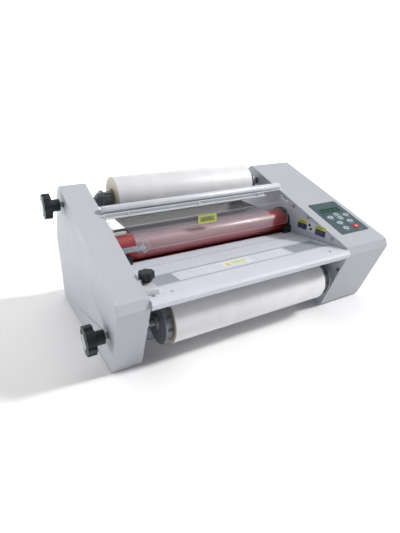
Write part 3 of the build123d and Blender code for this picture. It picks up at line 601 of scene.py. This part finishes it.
def overlay_print():
    """Pale ring round the two arrow keys and a printed caption under each other key."""
    across, up, normal = slope_axes()
    names = [n for n in NODES if n.startswith("key_")]
    flat = max(v.co.dot(normal) for v in NODES["keypad_overlay"].data.vertices) - FRAME_RISE
    shapes = []
    for node in names:
        centre, _, h = top_centre(node)
        u, v = centre.dot(across), centre.dot(up)
        if node in ("key_up", "key_down"):
            continue
        shapes.append(bar(u - 0.006, u + 0.006, v - h - 0.0042, v - h - 0.0026))
    upper, lower = (top_centre(node)[0] for node in ("key_up", "key_down"))
    u, v = (upper + lower).dot(across) / 2, (upper + lower).dot(up) / 2
    half = (upper - lower).dot(up) / 2
    outer, inner = stadium(u, v, 0.0099, half), stadium(u, v, 0.0074, half)
    ring = []
    for i in range(len(outer)):
        j = (i + 1) % len(outer)
        ring.append([outer[i], outer[j], inner[j], inner[i]])
    raised = placement(normal * (flat + PAD_RISE + LIFT), across, up)
    make_piece("keypad_ring", ring, INK_DEPTH, raised, INK_PALE, "frame")
    place = placement(normal * (flat + LIFT), across, up)
    make_piece("keypad_captions", shapes, INK_DEPTH, place, INK_GREY, "frame")


def table_print():
    """Guide lines, a ruler edge and a small caution patch in the table's recess."""
    low, high = loose_boxes("printed_labels", lambda low, high: high[2] - low[2] < 0.001)[0]
    centre = ((low[0] + high[0]) / 2, (low[1] + high[1]) / 2, high[2] + LIFT)
    place = placement(centre, (1, 0, 0), (0, 1, 0))
    w, h = (high[0] - low[0]) / 2, (high[1] - low[1]) / 2
    ticks = []
    pitch, tick_half, start = 0.005, 0.00015, -h + 0.0008
    count = int(w / pitch)
    for step in range(-count + 1, count):
        tall = 0.0045 if step % 2 == 0 else 0.0028
        ticks.append(bar(step * pitch - tick_half, step * pitch + tick_half, start, start + tall))
    for u in (0.055, 0.0845, 0.109, 0.1405):
        ticks.append(bar(-u - 0.0002, -u + 0.0002, -h + 0.007, h - 0.002))
        ticks.append(bar(u - 0.0002, u + 0.0002, -h + 0.007, h - 0.002))
    make_piece("table_scale_marks", ticks, INK_DEPTH, place, INK_GREY, "frame")
    patch = place @ Matrix.Translation((0.003, 0.003, 0.0))
    field = [bar(-0.036, 0.036, -0.0135, 0.0135)]
    make_piece("table_caution_patch", field, FIELD_INK, patch, INK_WHITE, "frame")
    yellow = shift(print_bars(0.040, 0.017, 3, 0.2, 2.0), 0.009, 0.0)
    yellow.append([(-0.031, -0.009), (-0.016, -0.009), (-0.0235, 0.0095)])
    lifted = patch @ Matrix.Translation((0, 0, FIELD_INK))
    make_piece("table_caution_print", yellow, FINE_INK, lifted, INK_YELLOW, "frame")


def rating_plate():
    """Plain rating sticker with bars for print, on the back above the inlet."""
    inlet_low, inlet_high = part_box("power_inlet")
    cover_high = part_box("right_cover")[1]
    origin = (inlet_low[0] + 0.03, cover_high[1] + LIFT, inlet_high[2] + 0.012)
    place = placement(origin, (-1, 0, 0), (0, 0, 1))
    sheet = [bar(-0.03, 0.03, -0.0075, 0.0075)]
    make_piece("rating_plate", sheet, PLATE_DEPTH, place, INK_WHITE, "frame")
    lifted = place @ Matrix.Translation((0, 0, PLATE_DEPTH))
    rows = print_bars(0.052, 0.011, 4, 0.25, 1.0)
    make_piece("rating_print", rows, FINE_INK, lifted, INK, "frame")


shield_print()
side_label_print()
display_print()
key_marks()
overlay_print()
table_print()
rating_plate()


# Floor, light and camera


def build_floor():
    """Pale seamless floor that curves up far behind the object, with painted light: it glows faintly near the
    object and more strongly far behind it.
    """
    mesh = bpy.data.meshes.new("studio_floor")
    bm = bmesh.new()
    profile = [(-6.0, 0.0), (3.0, 0.0)]
    for step in range(1, 13):
        turn = step / 12 * math.pi / 2
        profile.append((3.0 + 1.5 * math.sin(turn), 1.5 - 1.5 * math.cos(turn)))
    profile.append((4.5, 6.0))
    rows = [[bm.verts.new((x, y, z)) for y, z in profile] for x in (-8.0, 8.0)]
    for i in range(len(profile) - 1):
        bm.faces.new((rows[0][i], rows[0][i + 1], rows[1][i + 1], rows[1][i]))
    bmesh.ops.recalc_face_normals(bm, faces=bm.faces)
    bm.to_mesh(mesh)
    bm.free()
    floor = bpy.data.objects.new("studio_floor", mesh)
    bpy.context.scene.collection.objects.link(floor)
    white = surface("studio_white", (0.93, 0.93, 0.93), 0.65, mottle=0.01, mottle_scale=2.0, grain=300.0,
                    grain_depth=0.02, settings={"Emission Color": (1.0, 1.0, 1.0, 1.0)})
    tree = white.node_tree
    split = tree.nodes.new("ShaderNodeSeparateXYZ")
    tree.links.new(coordinates(tree), split.inputs[0])
    # Painted light: emission that is faint near the object and rises far behind it, so the backdrop reads white.
    painted_backdrop_glow = remap(tree, split.outputs[1], 0.6, 3.2, 0.04, 0.65)
    tree.links.new(painted_backdrop_glow, tree.nodes["Principled BSDF"].inputs["Emission Strength"])
    mesh.materials.append(white)
    for face in mesh.polygons:
        face.use_smooth = True


def area_light(name, position, target, size, power, color=(1, 1, 1)):
    """Soft rectangular light aimed at a point."""
    data = bpy.data.lights.new(name, "AREA")
    data.shape = "RECTANGLE"
    data.size, data.size_y = size
    data.energy = power
    data.color = color
    obj = bpy.data.objects.new(name, data)
    obj.location = position
    aim = Vector(target) - Vector(position)
    obj.rotation_euler = aim.to_track_quat("-Z", "Y").to_euler()
    bpy.context.scene.collection.objects.link(obj)


def sun(name, direction, strength, spread):
    """Distant light along a direction, softened by its spread in degrees."""
    data = bpy.data.lights.new(name, "SUN")
    data.energy = strength
    data.angle = math.radians(spread)
    obj = bpy.data.objects.new(name, data)
    obj.rotation_euler = Vector(direction).to_track_quat("-Z", "Y").to_euler()
    bpy.context.scene.collection.objects.link(obj)


def build_light():
    """White surround, a key from the right, a broad top light and a box on the left."""
    scene = bpy.context.scene
    scene.view_settings.view_transform = "Standard"
    world = bpy.data.worlds.new("studio_world")
    scene.world = world
    world.use_nodes = True
    background = world.node_tree.nodes["Background"]
    background.inputs["Color"].default_value = (1.0, 1.0, 1.0, 1.0)
    background.inputs["Strength"].default_value = 0.23
    sun("key", (-0.72, 0.30, -0.60), 2.9, 9.0)
    sun("top", (-0.10, 0.06, -0.98), 0.65, 50.0)
    area_light("left_box", (-2.6, 0.0, 0.45), (0, 0, 0.2), (1.4, 0.8), 15.0, (1.0, 0.995, 0.99))


def build_camera():
    """Camera in front of and to the left of the machine, looking down on it."""
    low = cad_bounds[0]
    yaw, pitch, roll = math.radians(26.81), math.radians(18.64), math.radians(-2.16)
    ahead = Vector((math.sin(yaw) * math.cos(pitch), math.cos(yaw) * math.cos(pitch), -math.sin(pitch)))
    right = Vector((math.cos(yaw), -math.sin(yaw), 0.0))
    up = right.cross(ahead)
    side = right * math.cos(roll) + up * math.sin(roll)
    top = up * math.cos(roll) - right * math.sin(roll)
    data = bpy.data.cameras.new("main_camera")
    data.sensor_width = 36.0
    data.lens = 25.84
    data.shift_x = 0.0493
    data.shift_y = -0.0314
    data.clip_start = 0.01
    camera = bpy.data.objects.new("main_camera", data)
    place = Vector((low[0] - 0.1224, low[1] - 0.5502, 0.4650))
    camera.matrix_world = Matrix((
        (side.x, top.x, -ahead.x, place.x),
        (side.y, top.y, -ahead.y, place.y),
        (side.z, top.z, -ahead.z, place.z),
        (0, 0, 0, 1),
    ))
    bpy.context.scene.collection.objects.link(camera)
    bpy.context.scene.camera = camera


build_floor()
build_light()
build_camera()
